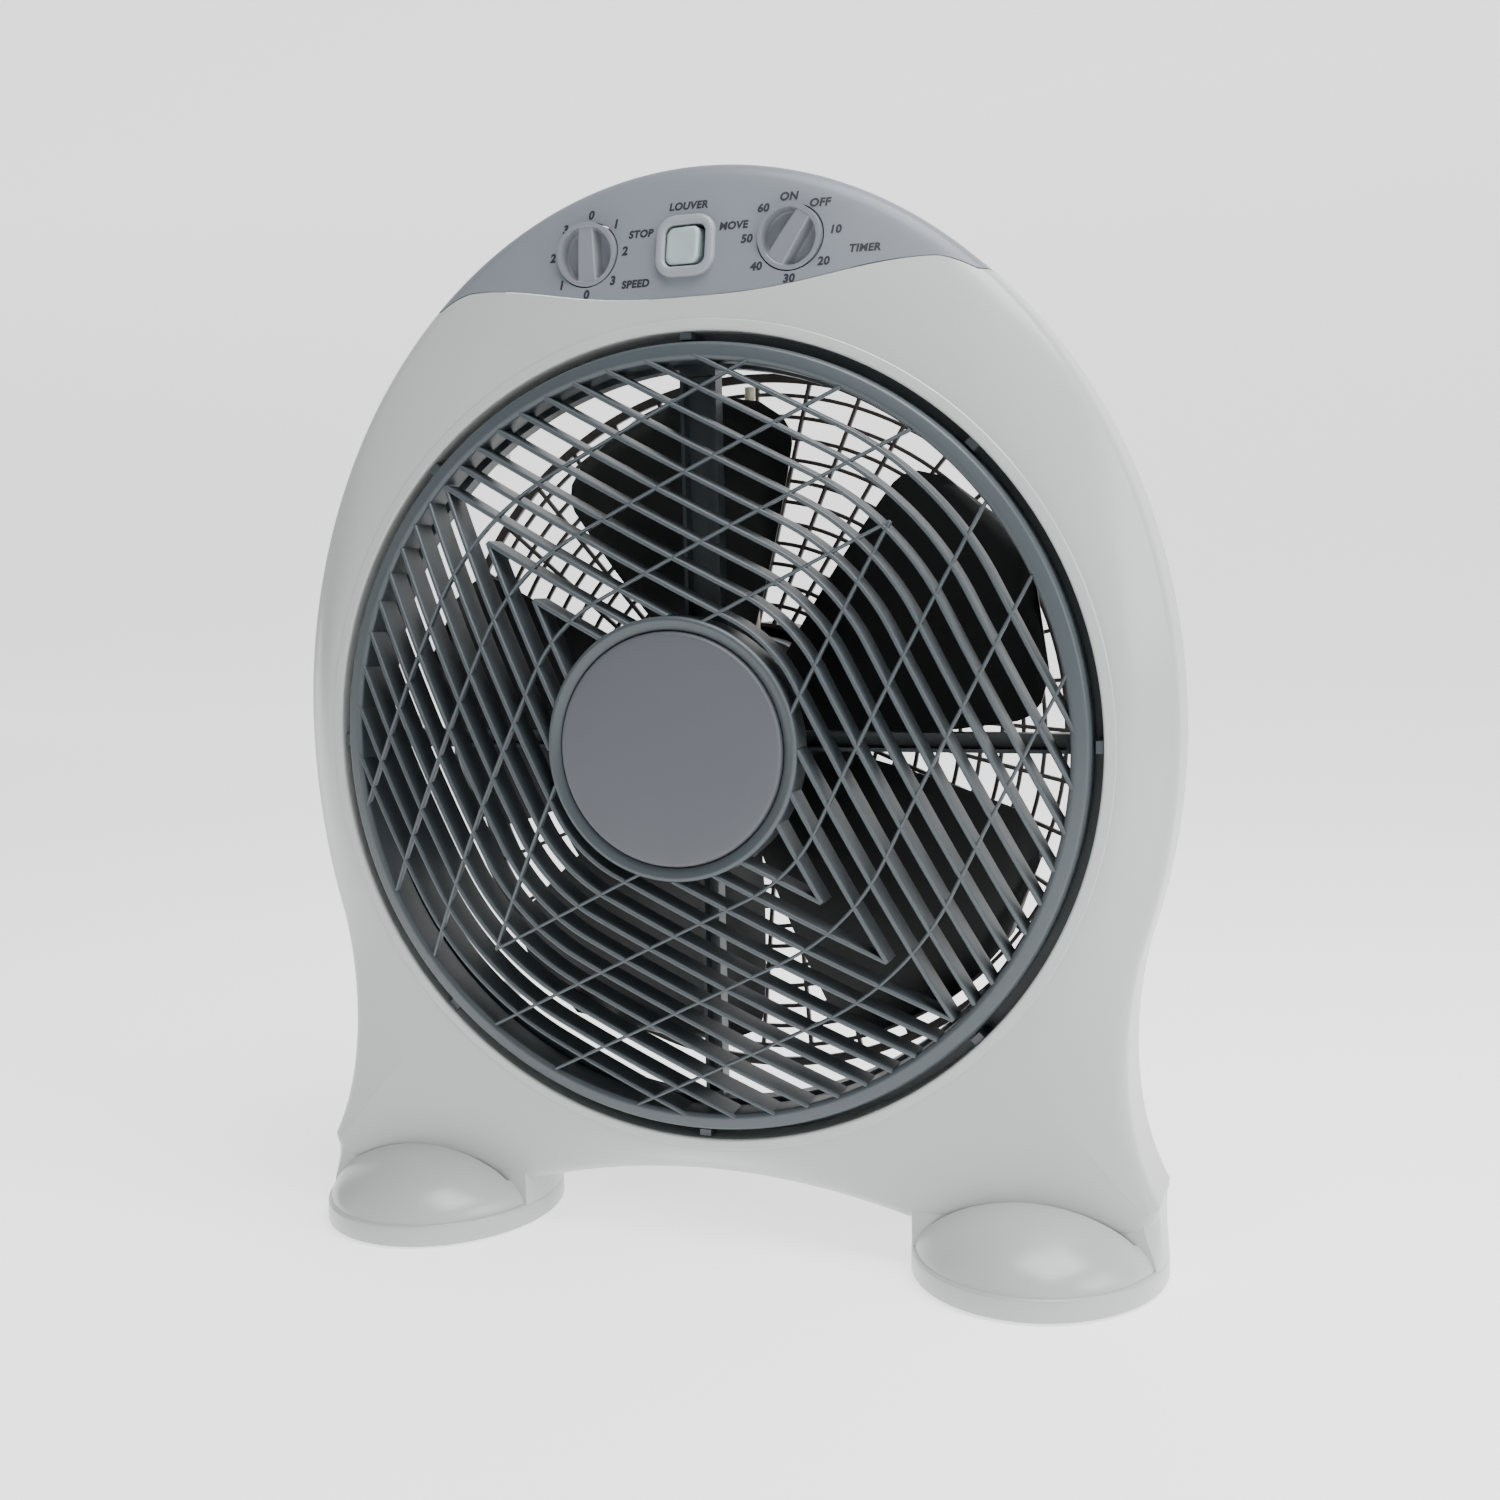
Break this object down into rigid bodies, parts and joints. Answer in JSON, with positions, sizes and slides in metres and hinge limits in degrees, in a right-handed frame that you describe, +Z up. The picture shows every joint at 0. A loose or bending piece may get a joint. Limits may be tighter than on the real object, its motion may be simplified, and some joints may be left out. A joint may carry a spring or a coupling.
{
  "type": "box fan",
  "caption": "Free-standing box fan with a domed rotating louver, a row of controls on its rounded head, two dome feet and a round rear grille.",
  "frame": {"origin": "on the floor, at the middle of the bounding box", "axes": "+Z up, the air leaves towards -Y, +X to the right seen from the front"},
  "size_m": [0.394, 0.1486, 0.46],
  "materials": {
    "shell": "satin",
    "panel": "satin",
    "louver": "satin",
    "cap": "satin",
    "blade": "satin",
    "grille": "matt",
    "knob": "satin",
    "button": "satin",
    "rubber": "matt",
    "steel": "satin",
    "zinc_screw": "bright",
    "alloy": "cast",
    "lamination": "satin",
    "copper": "enamelled",
    "bronze": "sintered",
    "dark_plastic": "matt",
    "cream_plastic": "matt"
  },
  "bodies": {
    "housing": {"front_shell": "shell", "rear_shell": "shell", "control_panel": "panel", "grip_cup": "shell", "cord_gland": "rubber", "foot_left": "shell", "foot_right": "shell", "foot_pads": "rubber", "foot_screws": "zinc_screw", "shell_screws": "zinc_screw", "louver_motor": "steel", "louver_guides": "louver", "spider_frame": "louver", "motor_front_bell": "alloy", "motor_rear_bell": "alloy", "bearing_front": "bronze", "bearing_rear": "bronze", "stator_core": "lamination", "stator_windings": "copper", "motor_bolts": "zinc_screw", "rear_grille": "grille", "motor_cover": "grille", "grille_screws": "zinc_screw", "speed_switch": "dark_plastic", "timer_case": "cream_plastic", "rocker_bezel": "panel", "rocker_switch": "dark_plastic", "run_capacitor": "cream_plastic", "terminal_block": "cream_plastic", "motor_lead": "cream_plastic"},
    "louver": {"louver_grille": "louver", "louver_cap": "cap", "louver_screw": "zinc_screw", "louver_shaft": "bronze"},
    "rotor": {"impeller": "blade", "spinner_nut": "blade", "motor_shaft": "steel", "rotor_core": "lamination"},
    "speed_dial": {"speed_knob": "knob", "speed_shaft": "steel"},
    "timer_dial": {"timer_knob": "knob", "timer_shaft": "steel"},
    "rocker": {"rocker_button": "button"}
  },
  "joints": [
    {"name": "impeller_spin", "type": "hinge", "parent": "housing", "child": "rotor", "pos_m": [0, -0.0402, 0.2206], "axis": [0, 1, 0], "continuous": true},
    {"name": "louver_turn", "type": "hinge", "parent": "housing", "child": "louver", "pos_m": [0, -0.0402, 0.2206], "axis": [0, 1, 0], "continuous": true},
    {"name": "speed_knob_turn", "type": "hinge", "parent": "housing", "child": "speed_dial", "pos_m": [-0.0445, -0.0402, 0.4252], "axis": [0, 1, 0], "continuous": true},
    {"name": "timer_knob_turn", "type": "hinge", "parent": "housing", "child": "timer_dial", "pos_m": [0.0445, -0.0402, 0.4252], "axis": [0, 1, 0], "range_deg": [-45, 280]},
    {"name": "louver_rocker", "type": "hinge", "parent": "housing", "child": "rocker", "pos_m": [0, -0.0249, 0.4252], "axis": [0, 0, 1], "range_deg": [0, 12]}
  ]
}
